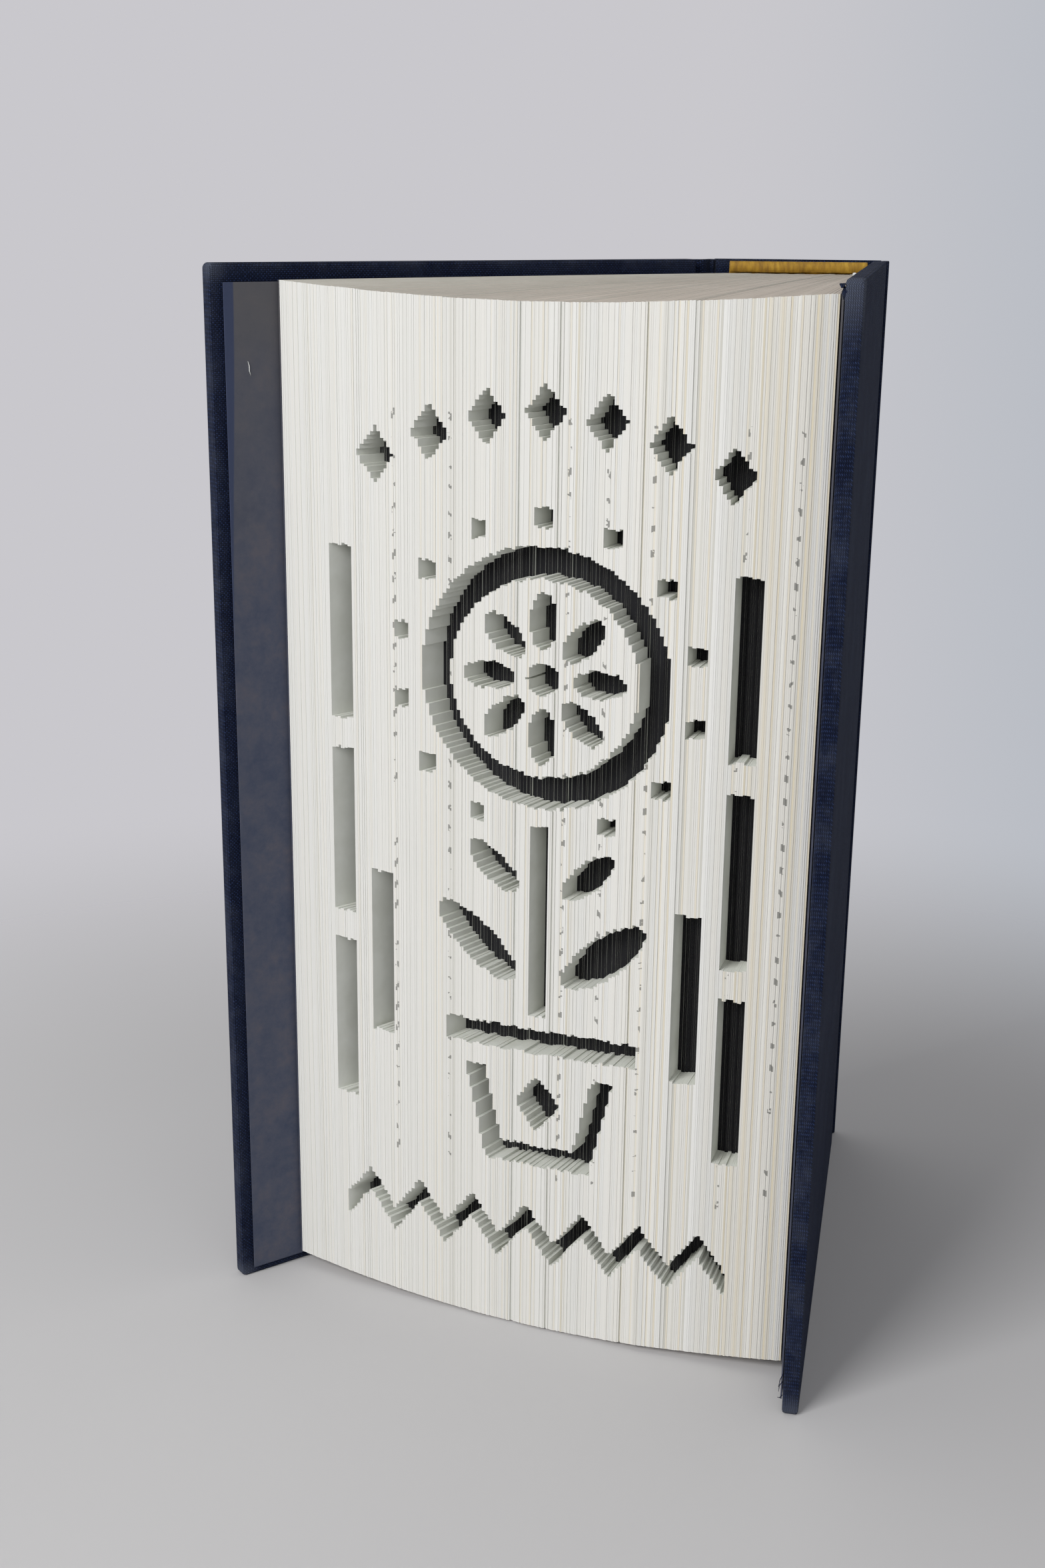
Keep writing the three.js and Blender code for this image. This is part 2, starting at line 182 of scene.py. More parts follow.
# Leaves: u runs across them from left to right, t along a leaf from its back to its fore edge
back_left = spine_middle + Vector((BLOCK_BACK_SHIFT - BLOCK_BACK_WIDTH / 2, -BLOCK_BACK_DEPTH))
back_right = spine_middle + Vector((BLOCK_BACK_SHIFT + BLOCK_BACK_WIDTH / 2, -BLOCK_BACK_DEPTH))
fore_left = cover_point("left", LEAF_REACH, SIDE_OFFSET)
fore_right = cover_point("right", LEAF_REACH, SIDE_OFFSET)
fore_chord = (fore_right - fore_left).length
fore_radius = (fore_chord**2 / 4 + FORE_EDGE_BULGE**2) / (2 * FORE_EDGE_BULGE)
fore_half_angle = math.asin(fore_chord / 2 / fore_radius)
fore_length = 2 * fore_half_angle * fore_radius
chord_way = (fore_right - fore_left).normalized()
out_way = Vector((chord_way.y, -chord_way.x))


def fore_point(u):
    angle = (2 * u - 1) * fore_half_angle
    lift = fore_radius * (math.cos(angle) - 1) + FORE_EDGE_BULGE
    return (fore_left + fore_right) / 2 + fore_radius * math.sin(angle) * chord_way + lift * out_way


def leaf_point(u, t):
    return back_left.lerp(back_right, u).lerp(fore_point(u), t)


def sag_at(u, t):
    return (SAG_LEFT * (1 - u) + SAG_MIDDLE * math.sin(math.pi * u)) * t**SAG_GROWTH


# Motifs of the cut pattern
def in_ellipse(across, up, centre, angle, length, width):
    right = across - centre[0]
    above = up - centre[1]
    along = right * math.cos(angle) + above * math.sin(angle)
    beside = above * math.cos(angle) - right * math.sin(angle)
    return (along / length) ** 2 + (beside / width) ** 2 < 1


def in_flower(across, up):
    radius = math.hypot(across - FLOWER_ACROSS, up - FLOWER_UP)
    if radius < HEART or RING_INNER < radius < RING_OUTER:
        return True
    for k in range(PETAL_COUNT):
        angle = k * 2 * math.pi / PETAL_COUNT
        centre = Vector((FLOWER_ACROSS, FLOWER_UP)) + PETAL_REACH * turned(angle)
        if in_ellipse(across, up, centre, angle, PETAL_LENGTH, PETAL_WIDTH):
            return True
    return False


def in_dots(across, up):
    for k in range(DOT_COUNT):
        angle = (k + 0.5) * 2 * math.pi / DOT_COUNT
        centre = Vector((FLOWER_ACROSS, FLOWER_UP)) + DOT_REACH * turned(angle)
        if max(abs(across - centre.x), abs(up - centre.y)) < DOT_SIZE:
            return True
    return False


def in_stem_and_leaves(across, up):
    right = abs(across - FLOWER_ACROSS)
    if right < STEM_HALF_WIDTH and STEM_BOTTOM < up < STEM_TOP:
        return True
    return any(
        in_ellipse(right, up, (out, leaf_up), tilt, length, width)
        for out, leaf_up, length, width, tilt in STEM_LEAVES
    )


def in_pot(across, up):
    right = abs(across - FLOWER_ACROSS)
    if right < POT_RIM_HALF and POT_TOP < up < POT_TOP + POT_RIM_HEIGHT:
        return True
    share = (up - POT_BOTTOM) / (POT_TOP - POT_BOTTOM)
    half = POT_FOOT_HALF + (POT_MOUTH_HALF - POT_FOOT_HALF) * share
    in_wall = right > half - POT_WALL or up < POT_BOTTOM + POT_WALL
    if right < half and POT_BOTTOM < up < POT_TOP - POT_WALL and in_wall:
        return True
    return right / LOZENGE_HALF_WIDTH + abs(up - LOZENGE_UP) / LOZENGE_HALF_HEIGHT < 1


def in_zigzag(across, up):
    if not ZIGZAG_LEFT < across < ZIGZAG_RIGHT:
        return False
    phase = (across - ZIGZAG_LEFT) / ZIGZAG_PERIOD % 1
    middle = ZIGZAG_BOTTOM + ZIGZAG_HEIGHT * (1 - abs(2 * phase - 1))
    return abs(up - middle) < ZIGZAG_HALF_WIDTH


def in_bars(across, up):
    from_edge = min(across, fore_length - across)
    for near, start, count in (OUTER_BARS, INNER_BARS):
        above = up - start
        beside = near < from_edge < near + BAR_WIDTH
        if beside and 0 < above < count * BAR_PITCH and above % BAR_PITCH < BAR_LENGTH:
            return True
    return False


def in_garland(across, up):
    for k in range(GARLAND_COUNT):
        right = abs(across - GARLAND_LEFT - k * GARLAND_PITCH)
        centre_up = GARLAND_UP + GARLAND_RISE * math.sin(math.pi * k / (GARLAND_COUNT - 1))
        if right / GARLAND_HALF_WIDTH + abs(up - centre_up) / GARLAND_HALF_HEIGHT < 1:
            return True
    return False


MOTIFS = (in_flower, in_dots, in_stem_and_leaves, in_pot, in_zigzag, in_bars, in_garland)


def is_cut(across, up):
    return any(motif(across, up) for motif in MOTIFS)


def cut_stretches(u):
    """The stretches of height that are cut out of the leaf at u."""
    stretches = []
    start = None
    steps = round((BOARD_HEIGHT - 2 * CUT_MARGIN) / CUT_STEP)
    for step in range(steps):
        up = CUT_MARGIN + step * CUT_STEP
        cut = is_cut(u * fore_length, up + CUT_STEP / 2)
        if cut and start is None:
            start = up
        if not cut and start is not None:
            stretches.append((start, up))
            start = None
    return stretches


# Helpers for the materials' nodes
def new_material(name):
    material = bpy.data.materials.new(name)
    material.use_nodes = True
    tree = material.node_tree
    return material, tree, tree.nodes["Principled BSDF"]


def node(tree, kind, values=(), links=(), **settings):
    made = tree.nodes.new(kind)
    for key, value in settings.items():
        setattr(made, key, value)
    for socket, value in dict(values).items():
        made.inputs[socket].default_value = value
    for socket, source in dict(links).items():
        tree.links.new(source, made.inputs[socket])
    return made


def ramp(tree, factor, stops):
    made = node(tree, "ShaderNodeValToRGB", links={"Fac": factor})
    elements = made.color_ramp.elements
    while len(elements) < len(stops):
        elements.new(0.5)
    for element, (place, colour) in zip(elements, stops):
        element.position = place
        element.color = (*colour, 1)
    return made.outputs["Color"]


def mix(tree, factor, first, second):
    made = node(tree, "ShaderNodeMix", data_type="RGBA")
    for socket, value in (("Factor", factor), ("A", first), ("B", second)):
        place = [s for s in made.inputs if s.name == socket and s.enabled][0]
        if isinstance(value, bpy.types.NodeSocket):
            tree.links.new(value, place)
        else:
            place.default_value = value if socket == "Factor" else (*value, 1)
    return [s for s in made.outputs if s.enabled][0]


def math_node(tree, operation, first, second=0.0):
    made = node(tree, "ShaderNodeMath", operation=operation)
    for place, value in zip(made.inputs, (first, second)):
        if isinstance(value, bpy.types.NodeSocket):
            tree.links.new(value, place)
        else:
            place.default_value = value
    return made.outputs[0]


def vector_node(tree, operation, vector, values):
    return node(tree, "ShaderNodeVectorMath", values={1: values}, links={0: vector}, operation=operation)


def object_coordinates(tree, scale=(1, 1, 1)):
    coordinates = node(tree, "ShaderNodeTexCoord").outputs["Object"]
    mapping = node(tree, "ShaderNodeMapping", values={"Scale": scale}, links={"Vector": coordinates})
    return mapping.outputs["Vector"]


def noise(tree, vector, scale, detail=3.0, roughness=0.55):
    made = node(
        tree,
        "ShaderNodeTexNoise",
        values={"Scale": scale, "Detail": detail, "Roughness": roughness},
        links={"Vector": vector},
    )
    return made.outputs["Fac"]


def bump(tree, shader, height, strength, distance):
    values = {"Strength": strength, "Distance": distance}
    made = node(tree, "ShaderNodeBump", values=values, links={"Height": height})
    tree.links.new(made.outputs["Normal"], shader.inputs["Normal"])


def set_surface(tree, shader, colour, roughness, specular=0.5):
    tree.links.new(colour, shader.inputs["Base Color"])
    shader.inputs["Roughness"].default_value = roughness
    shader.inputs["Specular IOR Level"].default_value = specular


def add(tree, first, second):
    return math_node(tree, "ADD", first, second)


def times(tree, first, second):
    return math_node(tree, "MULTIPLY", first, second)


def rise(tree, value, low, high):
    """0 below low and 1 above high, with a smooth step between them."""
    made = node(
        tree,
        "ShaderNodeMapRange",
        values={"From Min": low, "From Max": high},
        links={"Value": value},
        interpolation_type="SMOOTHSTEP",
    )
    return made.outputs["Result"]


def split(tree, vector):
    made = node(tree, "ShaderNodeSeparateXYZ", links={"Vector": vector})
    return [made.outputs[axis] for axis in "XYZ"]


def leaf_value(tree, name):
    return node(tree, "ShaderNodeAttribute", attribute_name=name).outputs["Fac"]


# Papers
EDGE_CREAMS = (
    (0.0, (0.36, 0.345, 0.30)),
    (0.2, (0.52, 0.51, 0.465)),
    (0.45, (0.62, 0.615, 0.585)),
    (0.75, (0.675, 0.67, 0.645)),
    (1.0, (0.72, 0.715, 0.69)),
)
BEIGE = (0.66, 0.58, 0.42)
INK = (0.10, 0.10, 0.09)
FACE_GREYS = ((0.3, (0.66, 0.67, 0.61)), (0.7, (0.74, 0.75, 0.70)))
RECESS_BLACKS = ((0.3, (0.005, 0.005, 0.006)), (0.9, (0.016, 0.016, 0.018)))
HEAD_GREYS = ((0.3, (0.47, 0.41, 0.345)), (0.7, (0.54, 0.475, 0.405)), (1.0, (0.59, 0.53, 0.46)))
HEAD_TONE_SHARE = 0.5
PAPER_SPECULAR = 0.2
FADING_ALONG_TONES = 70
FADING_ALONG_HEIGHT = 22
FADING_STRENGTH = 0.25
TICK_SHARE = 0.3
TICK_DARKNESS = 0.7


def print_ticks(tree, vector):
    """Where the ends of printed lines show: small broken ticks on a few leaves."""
    up = split(tree, vector)[2]
    printed = leaf_value(tree, "printed")
    line = math_node(tree, "FRACT", add(tree, times(tree, up, 1 / PRINT_PITCH), printed))
    broken = math_node(tree, "GREATER_THAN", noise(tree, vector, scale=650, detail=1), 0.5)
    ticks = times(tree, math_node(tree, "LESS_THAN", line, TICK_SHARE), broken)
    ticks = times(tree, ticks, math_node(tree, "GREATER_THAN", printed, 0))
    above = math_node(tree, "GREATER_THAN", up, PRINT_BOTTOM)
    below = math_node(tree, "LESS_THAN", up, PRINT_TOP)
    return times(tree, ticks, times(tree, above, below))


def page_edge_material():
    material, tree, shader = new_material("page_edge")
    vector = object_coordinates(tree)
    tone = leaf_value(tree, "tone")
    leaf_place = times(tree, tone, FADING_ALONG_TONES)
    height = times(tree, split(tree, vector)[2], FADING_ALONG_HEIGHT)
    place = node(tree, "ShaderNodeCombineXYZ", links={"X": leaf_place, "Z": height})
    fading = noise(tree, place.outputs["Vector"], scale=1, detail=2)
    fading = times(tree, add(tree, fading, -0.5), FADING_STRENGTH)
    creams = ramp(tree, add(tree, tone, fading), EDGE_CREAMS)
    paper = mix(tree, leaf_value(tree, "warmth"), creams, BEIGE)
    colour = mix(tree, times(tree, print_ticks(tree, vector), TICK_DARKNESS), paper, INK)
    set_surface(tree, shader, colour, roughness=0.9, specular=PAPER_SPECULAR)
    return material


def page_face_material():
    material, tree, shader = new_material("page_face")
    patches = noise(tree, object_coordinates(tree), scale=160)
    colour = ramp(tree, patches, FACE_GREYS)
    set_surface(tree, shader, colour, roughness=0.95, specular=PAPER_SPECULAR)
    return material


def recess_floor_material():
    material, tree, shader = new_material("recess_floor")
    colour = ramp(tree, leaf_value(tree, "tone"), RECESS_BLACKS)
    set_surface(tree, shader, colour, roughness=0.9, specular=PAPER_SPECULAR)
    return material


def head_edge_material():
    material, tree, shader = new_material("head_edge")
    clouds = noise(tree, object_coordinates(tree), scale=45)
    tone = times(tree, add(tree, leaf_value(tree, "tone"), -0.5), HEAD_TONE_SHARE)
    set_surface(tree, shader, ramp(tree, add(tree, tone, clouds), HEAD_GREYS), roughness=0.9)
    return material


# How the leaves differ: broad bands, groups of a few, and single darker or tan ones
PAPER_TONE = 0.64
BROAD_LEAVES = 7
BROAD_TONE = 0.10
GROUP_LEAVES = (2, 3, 3, 4, 5)
GROUP_TONE = 0.13
GROUP_TONE_MOST = 0.18
GROUP_WARMTH_MOST = 0.17
LEAF_TONE = 0.05
DARKER_SHARE = 0.06
DARKER_BY = 0.38
TAN_SHARE = 0.16
TAN_WARMTHS = (0.3, 0.7)
WARMTH_MOST = 0.8
CONTRAST_LEFT = 0.2
CONTRAST_RISE = 0.95
CONTRAST_POWER = 1.2


def leaf_looks(rng):
    """Each leaf's tone and warmth. They differ more towards the right."""
    broad = [rng.uniform(-1, 1) for _ in range(LEAF_COUNT // BROAD_LEAVES + 2)]
    tones, warmths = [], []
    left_in_group, group_tone, group_warmth = 0, 0, 0
    for k in range(LEAF_COUNT):
        if left_in_group == 0:
            left_in_group = rng.choice(GROUP_LEAVES)
            group_tone = min(GROUP_TONE_MOST, max(-GROUP_TONE_MOST, rng.gauss(0, GROUP_TONE)))
            group_warmth = rng.uniform(0, GROUP_WARMTH_MOST)
        left_in_group -= 1
        contrast = CONTRAST_LEFT + CONTRAST_RISE * (k / LEAF_COUNT) ** CONTRAST_POWER
        place = k / BROAD_LEAVES
        blend = broad[int(place)] * (1 - place % 1) + broad[int(place) + 1] * (place % 1)
        darker = DARKER_BY if rng.random() < DARKER_SHARE else 0
        tan = rng.uniform(*TAN_WARMTHS) if rng.random() < TAN_SHARE else 0
        change = BROAD_TONE * blend + group_tone + rng.gauss(0, LEAF_TONE) - darker
        tones.append(min(1, max(0, PAPER_TONE + contrast * change)))
        warmths.append(min(WARMTH_MOST, contrast * max(group_warmth, tan)))
    return tones, warmths


# The leaves as one mesh: each is a thin wedge with its own notches
EDGE, FACE, FLOOR, HEAD = range(4)


def leaf_outline(u, notches, front, lift):
    """The leaf's outline as (t, height, kind of the side that starts there)."""
    floor_t = front - RECESS_DEPTH / (leaf_point(u, 1) - leaf_point(u, 0)).length
    outline = [(t, SQUARE - sag_at(u, t) + lift, HEAD) for t in SAG_STEPS]
    outline.append((front, SQUARE - sag_at(u, 1) + lift, EDGE))
    for bottom, top in notches:
        outline += [(front, bottom, FACE), (floor_t, bottom, FLOOR)]
        outline += [(floor_t, top, FACE), (front, top, EDGE)]
    outline.append((front, BOARD_HEIGHT - SQUARE - sag_at(u, 1) + lift, HEAD))
    outline += [(t, BOARD_HEIGHT - SQUARE - sag_at(u, t) + lift, HEAD) for t in reversed(SAG_STEPS)]
    return outline


def leaf_faces(start, outline):
    """The leaf's two sides and the narrow faces round it, with each face's material slot."""
    count = len(outline)
    faces = [
        tuple(start + n for n in range(count)),
        tuple(start + count + n for n in reversed(range(count))),
    ]
    slots = [FACE, FACE]
    for n, (_, _, kind) in enumerate(outline):
        after = (n + 1) % count
        faces.append((start + n, start + count + n, start + count + after, start + after))
        slots.append(kind)
    return faces, slots


def build_leaves():
    rng = random.Random(LEAF_SEED)
    points, faces, slots = [], [], []
    looks = {"tone": [], "warmth": [], "printed": []}
    section_shift = [rng.uniform(-1, 1) for _ in range(LEAF_COUNT // SECTION_LEAVES + 1)]
    tones, warmths = leaf_looks(rng)
    groups = {}
    for k in range(LEAF_COUNT):
        middle = (k + 0.5) / LEAF_COUNT
        length = (leaf_point(middle, 1) - leaf_point(middle, 0)).length
        shift = section_shift[k // SECTION_LEAVES] * SECTION_JITTER + rng.uniform(-1, 1) * EDGE_JITTER
        if k in SUNK_LEAVES:
            shift -= SUNK_DEPTH
        front = 1 + shift / length
        lift = section_shift[k // SECTION_LEAVES] * EDGE_JITTER + rng.uniform(-0.5, 0.5) * EDGE_JITTER
        group = k // CUT_GROUP
        if group not in groups:
            groups[group] = [
                (bottom + rng.uniform(-1, 1) * CUT_JITTER, top + rng.uniform(-1, 1) * CUT_JITTER)
                for bottom, top in cut_stretches(middle + 0.5 / LEAF_COUNT)
            ]
        outline = leaf_outline(middle, groups[group], front, lift)
        near_print = any(abs(middle - spot) < PRINT_REACH_LEAVES / LEAF_COUNT for spot in PRINTED_SPOTS)
        printed = rng.uniform(*PRINT_SHIFTS) if near_print else 0
        new_faces, new_slots = leaf_faces(len(points), outline)
        faces += new_faces
        slots += new_slots
        for hand in (-0.5, 0.5):
            for t, height, _ in outline:
                u = middle + hand * (1 - LEAF_GAP_SHARE * t) / LEAF_COUNT
                points.append((*leaf_point(u, t), height))
        for look, value in (("tone", tones[k]), ("warmth", warmths[k]), ("printed", printed)):
            looks[look] += [value] * len(new_faces)
    return points, faces, slots, looks


def add_mesh(name, points, faces, materials, slots=None):
    mesh = bpy.data.meshes.new(name)
    mesh.from_pydata(points, [], faces)
    for material in materials:
        mesh.materials.append(material)
    if slots:
        mesh.polygons.foreach_set("material_index", slots)
    mesh.validate()
    mesh.update()
    piece = bpy.data.objects.new(name, mesh)
    bpy.context.collection.objects.link(piece)
    return piece


def add_leaves():
    points, faces, slots, looks = build_leaves()
    materials = [page_edge_material(), page_face_material(), recess_floor_material(), head_edge_material()]
    leaves = add_mesh("leaves", points, faces, materials, slots)
    for name, values in looks.items():
        attribute = leaves.data.attributes.new(name, "FLOAT", "FACE")
        attribute.data.foreach_set("value", values)
    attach(leaves, "block")
    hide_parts("text_block")


# Cloth
THREAD_PITCH = 0.00043
THREAD_WAVER = 0.5
THREAD_ROUNDNESS = 0.6
WARP_OVER = (-0.15, 0.25)
NAVY_DARK = (0.002, 0.003, 0.009)
NAVY_WEFT = (0.006, 0.010, 0.028)
NAVY_WARP = (0.022, 0.038, 0.105)
NAVY_RUBBED = (0.036, 0.047, 0.085)
# Pale navy for scuffed wear, and for the painted highlight streak beside the right cover's joint
NAVY_SCUFF_AND_HIGHLIGHT = (0.100, 0.113, 0.150)
FLECKS = (0.38, 0.62)
FLECK_STRENGTH = 0.75
GRAIN_STRENGTH = 0.6
RUBBED_PATCHES = (0.42, 0.72)
RUBBED_STRENGTH = 0.5
EDGE_WEAR_REACH = 0.0032
EDGE_WEAR_PAST = 0.0004
EDGE_WEAR_PATCHES = (0.38, 0.68)
EDGE_WEAR_STRENGTH = 0.28
SPOT_STRENGTH = 0.8
RELIEF_LUMPS = 1.6


def cover_coordinates(tree, place, angle):
    """Distances along a cover from its hinge, square to it, and up."""
    coordinates = node(tree, "ShaderNodeTexCoord").outputs["Object"]
    mapping = node(
        tree,
        "ShaderNodeMapping",
        values={"Location": (*place, 0), "Rotation": (0, 0, angle)},
        links={"Vector": coordinates},
        vector_type="TEXTURE",
    )
    return mapping.outputs["Vector"]


def weave(tree, vector, pitch):
    """A plain weave: how high its threads stand, and where the warp lies over the weft."""
    along, across, up = split(tree, vector)
    waver = noise(tree, vector, scale=900, detail=2)
    waver = times(tree, add(tree, waver, -0.5), THREAD_WAVER * pitch)
    waves = []
    for way in (along, up):
        place = add(tree, add(tree, way, across), waver)
        waves.append(math_node(tree, "SINE", times(tree, place, math.pi / pitch)))
    crossing = times(tree, *waves)
    height = math_node(tree, "POWER", math_node(tree, "ABSOLUTE", crossing), THREAD_ROUNDNESS)
    return height, rise(tree, crossing, *WARP_OVER)


def edge_wear(tree, vector):
    """Patches of wear along the fore edge, head and tail of a cover, and 0 away from them."""
    along, _, up = split(tree, vector)
    fore = rise(tree, along, COVER_WIDTH - EDGE_WEAR_REACH, COVER_WIDTH + EDGE_WEAR_PAST)
    head = rise(tree, up, BOARD_HEIGHT - EDGE_WEAR_REACH, BOARD_HEIGHT + EDGE_WEAR_PAST)
    tail = rise(tree, times(tree, up, -1), -EDGE_WEAR_REACH, EDGE_WEAR_PAST)
    edges = math_node(tree, "MAXIMUM", fore, math_node(tree, "MAXIMUM", head, tail))
    patches = noise(tree, vector, scale=110, detail=5, roughness=0.75)
    return times(tree, edges, rise(tree, patches, *EDGE_WEAR_PATCHES))


def spot_mask(tree, vector, centre, radius, stretch):
    """1 at the centre of a spot, of wear or of painted highlight, and 0 past its rim. It is stretch times
    as tall as it is wide.
    """
    along, across, up = centre
    squeezed = vector_node(tree, "MULTIPLY", vector, (1, 1, 1 / stretch)).outputs["Vector"]
    away = vector_node(tree, "DISTANCE", squeezed, (along, across, up / stretch)).outputs["Value"]
    return math_node(tree, "SUBTRACT", 1, rise(tree, away, 0, radius))


def navy_cloth_material(name, place, angle, worn_and_highlight_spots=()):
    material, tree, shader = new_material(name)
    vector = cover_coordinates(tree, place, angle)
    height, warp = weave(tree, vector, THREAD_PITCH)
    flecks = rise(tree, noise(tree, vector, scale=1300, detail=2), *FLECKS)
    flecks = add(tree, times(tree, flecks, FLECK_STRENGTH), 1 - FLECK_STRENGTH)
    threads = mix(tree, times(tree, warp, flecks), NAVY_WEFT, NAVY_WARP)
    colour = mix(tree, height, NAVY_DARK, threads)
    grain = add(tree, times(tree, height, GRAIN_STRENGTH), 1 - GRAIN_STRENGTH)
    rubbed = rise(tree, noise(tree, vector, scale=45, detail=7, roughness=0.78), *RUBBED_PATCHES)
    rubbed = times(tree, rubbed, RUBBED_STRENGTH)
    colour = mix(tree, times(tree, rubbed, grain), colour, NAVY_RUBBED)
    scuff_and_highlight = times(tree, edge_wear(tree, vector), EDGE_WEAR_STRENGTH)
    # Worn spots lighten the cloth here, and so does the painted highlight streak on the right cover
    for spot in worn_and_highlight_spots:
        near = times(tree, spot_mask(tree, vector, *spot), SPOT_STRENGTH)
        scuff_and_highlight = math_node(tree, "MAXIMUM", near, scuff_and_highlight)
    colour = mix(tree, times(tree, scuff_and_highlight, grain), colour, NAVY_SCUFF_AND_HIGHLIGHT)
    set_surface(tree, shader, colour, roughness=0.85, specular=0.08)
    shader.inputs["Sheen Weight"].default_value = 0.02
    shader.inputs["Sheen Roughness"].default_value = 0.45
    relief = add(tree, height, times(tree, noise(tree, vector, scale=260), RELIEF_LUMPS))
    bump(tree, shader, relief, strength=0.7, distance=0.00025)
    return material


# Endpapers, head and tail bands, and the lining
SLATES = ((0.34, (0.049, 0.060, 0.098)), (0.5, (0.068, 0.076, 0.110)), (0.66, (0.092, 0.090, 0.114)))
SLATE_BROWN = (0.099, 0.094, 0.094)
SLATE_BLUE = (0.040, 0.052, 0.100)
MOTTLE_FINE = 0.55
MOTTLE_COARSE = 0.45
BROWN_WANDER = 0.06
BROWN_FADE = (0.19, 0.27)
BROWN_STRENGTH = 0.75
STRIP_WIDTH = 0.0031
STRIP_SOFTNESS = 0.0004
STRIP_GROWTH = 0.0024
STRIP_TAPER = (0.15, 0.24)
OCHRES = ((0.35, (0.20, 0.10, 0.008)), (0.55, (0.36, 0.20, 0.014)), (0.7, (0.50, 0.30, 0.03)))
THREADS_FINE = 0.6
THREADS_COARSE = 0.4
GAUZE_PITCH = 0.0008
GAUZE_DARK = (0.42, 0.37, 0.26)
GAUZE_LIGHT = (0.66, 0.61, 0.50)


def slate_paper_material(name, side):
    """Mottled paper, browner at the head, with a blue strip that tapers down beside its fore edge."""
    material, tree, shader = new_material(name)
    vector = cover_coordinates(tree, cover_hinge[side], cover_angle[side])
    along, _, up = split(tree, vector)
    fine = times(tree, noise(tree, vector, scale=420, detail=4, roughness=0.7), MOTTLE_FINE)
    coarse = times(tree, noise(tree, vector, scale=90), MOTTLE_COARSE)
    colour = ramp(tree, add(tree, fine, coarse), SLATES)
    wander = times(tree, noise(tree, vector, scale=30), BROWN_WANDER)
    brown = times(tree, rise(tree, add(tree, up, wander), *BROWN_FADE), BROWN_STRENGTH)
    colour = mix(tree, brown, colour, SLATE_BROWN)
    if side == "left":
        reach = add(tree, along, times(tree, rise(tree, up, *STRIP_TAPER), STRIP_GROWTH))
        edge = COVER_WIDTH - STRIP_WIDTH
        colour = mix(tree, rise(tree, reach, edge, edge + STRIP_SOFTNESS), colour, SLATE_BLUE)
    set_surface(tree, shader, colour, roughness=0.85, specular=0.3)
    bump(tree, shader, noise(tree, vector, scale=1500, detail=4), strength=0.2, distance=0.0001)
    return material


def ochre_band_material():
    material, tree, shader = new_material("ochre_cloth")
    vector = object_coordinates(tree, scale=(1, 0.3, 0.3))
    fine = times(tree, noise(tree, vector, scale=1100), THREADS_FINE)
    coarse = times(tree, noise(tree, vector, scale=260, detail=2), THREADS_COARSE)
    threads = add(tree, fine, coarse)
    set_surface(tree, shader, ramp(tree, threads, OCHRES), roughness=0.7)
    bump(tree, shader, threads, strength=0.5, distance=0.0002)
    return material


def lining_material():
    material, tree, shader = new_material("lining_gauze")
    height, _ = weave(tree, object_coordinates(tree), GAUZE_PITCH)
    set_surface(tree, shader, mix(tree, height, GAUZE_DARK, GAUZE_LIGHT), roughness=0.9)
    bump(tree, shader, height, strength=0.5, distance=0.0003)
    return material


# Finishes of the solid parts. Each spot, worn or a painted highlight, is its place on the cover, its
# radius and its stretch
WORN_AND_HIGHLIGHT_SPOTS = {
    "left": (
        ((COVER_WIDTH, 0.003, BOARD_HEIGHT), 0.006, 1),
        ((COVER_WIDTH, 0.003, 0), 0.006, 1),
    ),
    "right": (
        ((COVER_WIDTH, -0.003, BOARD_HEIGHT), 0.015, 1),
        ((COVER_WIDTH, -0.001, 0), 0.007, 1),
        # Painted highlight: a narrow pale streak on the outer face beside the joint
        ((JOINT_WIDTH, 0.0005, 0.062), 0.005, 5),
    ),
}


def dress(node_name, material):
    mesh = frame["nodes"][node_name].data
    mesh.materials.clear()
    mesh.materials.append(material)


def dress_nodes():
    for side, spots in WORN_AND_HIGHLIGHT_SPOTS.items():
        cloth = navy_cloth_material(f"navy_cloth_{side}", cover_hinge[side], cover_angle[side], spots)
        dress(f"{side}_cover_board", cloth)
        slate = slate_paper_material(f"slate_paper_{side}", side)
        dress(f"{side}_pastedown", slate)
        dress(f"{side}_flyleaf", slate)
    dress("spine_strip", navy_cloth_material("navy_cloth_spine", spine_middle, 0))
    dress("spine_lining", lining_material())


# Swept pieces: bands, threads and bits of cloth
def add_sweep(name, rings, material):
    """A closed skin over rings of points that all have the same number of points."""
    count = len(rings[0])
    points = [tuple(point) for ring in rings for point in ring]
    faces = [tuple(reversed(range(count)))]
    for row in range(len(rings) - 1):
        for n in range(count):
            after = (n + 1) % count
            low, high = row * count, (row + 1) * count
            faces.append((low + n, low + after, high + after, high + n))
    faces.append(tuple(len(points) - count + n for n in range(count)))
    piece = add_mesh(name, points, faces, [material])
    piece.data.polygons.foreach_set("use_smooth", [len(face) == 4 for face in faces])
    return piece


def add_tube(name, path, radii, material, sides):
    """A round rod along a path, with a radius for each of its points."""
    path = [Vector(point) for point in path]
    rings = []
    turns = [2 * math.pi * side / sides for side in range(sides)]
    for n, (middle, radius) in enumerate(zip(path, radii)):
        way = (path[min(n + 1, len(path) - 1)] - path[max(n - 1, 0)]).normalized()
        first = way.orthogonal().normalized()
        second = way.cross(first)
        round_way = [math.cos(turn) * first + math.sin(turn) * second for turn in turns]
        rings.append([middle + radius * out for out in round_way])
    return add_sweep(name, rings, material)


# Head and tail bands
BAND_STEPS = 90
BAND_BEAD = 0.0020
BEAD_STEPS = 8
BAND_RISE = 0.0029
BAND_TONGUE = 0.0005
BAND_TONGUE_HEIGHT = 0.012
LIP_WAVE = 0.00035
LIP_WAVE_ANGLE = 11
LIP_RIPPLE = 0.00022
LIP_RIPPLE_ANGLE = 31
LIP_RIPPLE_START = 2
LIP_SWAY = 0.3


